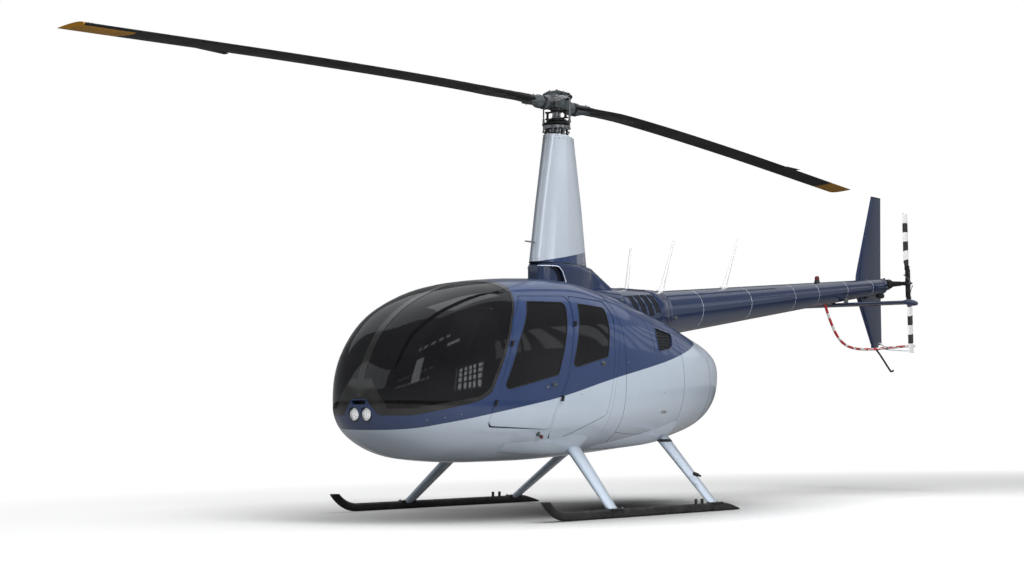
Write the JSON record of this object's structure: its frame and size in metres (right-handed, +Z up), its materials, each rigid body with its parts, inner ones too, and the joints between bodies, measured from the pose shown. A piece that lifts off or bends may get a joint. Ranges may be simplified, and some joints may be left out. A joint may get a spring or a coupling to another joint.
{
  "type": "light turbine helicopter",
  "caption": "Light helicopter with a hollow cabin, hinged doors, teetering main rotor on a tall mast fairing, slim tail boom with tail rotor, and skid gear.",
  "frame": {"origin": "on the ground under the middle of the bounding box; the axis of the rotor mast stands at y = -0.789", "axes": "+Y towards the tail, +X towards the port side, +Z up"},
  "size_m": [2.176, 11.644, 3.48],
  "materials": {
    "bare_metal": "satin",
    "black_paint": "satin",
    "clear_lens": "gloss",
    "dark_metal": "satin",
    "dark_plastic": "matte",
    "green_lens": "gloss",
    "navy_paint": "gloss",
    "red_lens": "gloss",
    "red_paint": "gloss",
    "seat_leather": "matte",
    "silver_paint": "gloss",
    "tinted_glass": "gloss",
    "white_paint": "gloss"
  },
  "bodies": {
    "airframe": {"aft_cowling": "silver_paint", "antenna_aft": "white_paint", "antenna_front": "white_paint", "antenna_middle": "white_paint", "beacon": "red_lens", "boom_root_cone": "navy_paint", "cabin_shell": "silver_paint", "engine_block": "dark_metal", "exhaust_pipe": "bare_metal", "horizontal_stabiliser": "navy_paint", "instrument_console": "dark_plastic", "landing_lights": "clear_lens", "mast_base_cowl": "navy_paint", "mast_fairing": "silver_paint", "navigation_light_port": "red_lens", "navigation_light_starboard": "green_lens", "pitot_tube": "bare_metal", "rear_bench": "seat_leather", "seat_front_port": "seat_leather", "seat_front_starboard": "seat_leather", "skid_port": "black_paint", "skid_starboard": "black_paint", "strut_aft_port": "silver_paint", "strut_aft_starboard": "silver_paint", "strut_front_port": "silver_paint", "strut_front_starboard": "silver_paint", "swashplate_fixed": "bare_metal", "tail_boom": "navy_paint", "tail_fin": "navy_paint", "tail_gearbox": "bare_metal", "tail_guard": "red_paint", "tail_stinger": "black_paint", "windshield_port": "tinted_glass", "windshield_starboard": "tinted_glass"},
    "main_rotor": {"rotor_mast": "bare_metal", "rotor_hub": "bare_metal", "rotor_blade_1": "black_paint", "rotor_blade_2": "black_paint", "swashplate_rotating": "dark_metal"},
    "tail_rotor": {"tail_rotor_hub": "dark_metal", "tail_rotor_blade_1": "white_paint", "tail_rotor_blade_2": "white_paint"},
    "front_door_port": {"door_front_port": "navy_paint", "door_pane_front_port": "tinted_glass"},
    "front_door_starboard": {"door_front_starboard": "navy_paint", "door_pane_front_starboard": "tinted_glass"},
    "rear_door_port": {"door_rear_port": "navy_paint", "door_pane_rear_port": "tinted_glass"},
    "rear_door_starboard": {"door_rear_starboard": "navy_paint", "door_pane_rear_starboard": "tinted_glass"}
  },
  "joints": [
    {"name": "main_rotor_spin", "type": "hinge", "parent": "airframe", "child": "main_rotor", "pos_m": [0, -0.7886, 3.41], "axis": [0, 0, 1], "continuous": true},
    {"name": "tail_rotor_spin", "type": "hinge", "parent": "airframe", "child": "tail_rotor", "pos_m": [0.264, 5.0824, 2.2], "axis": [1, 0, 0], "continuous": true},
    {"name": "front_door_port_swing", "type": "hinge", "parent": "airframe", "child": "front_door_port", "pos_m": [0.69649, -2.4128, 0.86], "axis": [-0.0205, -0.3695, -0.929], "range_deg": [0, 75]},
    {"name": "front_door_starboard_swing", "type": "hinge", "parent": "airframe", "child": "front_door_starboard", "pos_m": [-0.69649, -2.4128, 0.86], "axis": [-0.0205, 0.3695, 0.929], "range_deg": [0, 75]},
    {"name": "rear_door_port_swing", "type": "hinge", "parent": "airframe", "child": "rear_door_port", "pos_m": [0.75262, -1.6846, 0.9], "axis": [0.0868, -0.3734, -0.9236], "range_deg": [0, 75]},
    {"name": "rear_door_starboard_swing", "type": "hinge", "parent": "airframe", "child": "rear_door_starboard", "pos_m": [-0.75262, -1.6846, 0.9], "axis": [0.0868, 0.3734, 0.9236], "range_deg": [0, 75]}
  ],
  "couplings": [
    {"joint": "tail_rotor_spin", "follows": "main_rotor_spin", "ratio": -5.64}
  ]
}
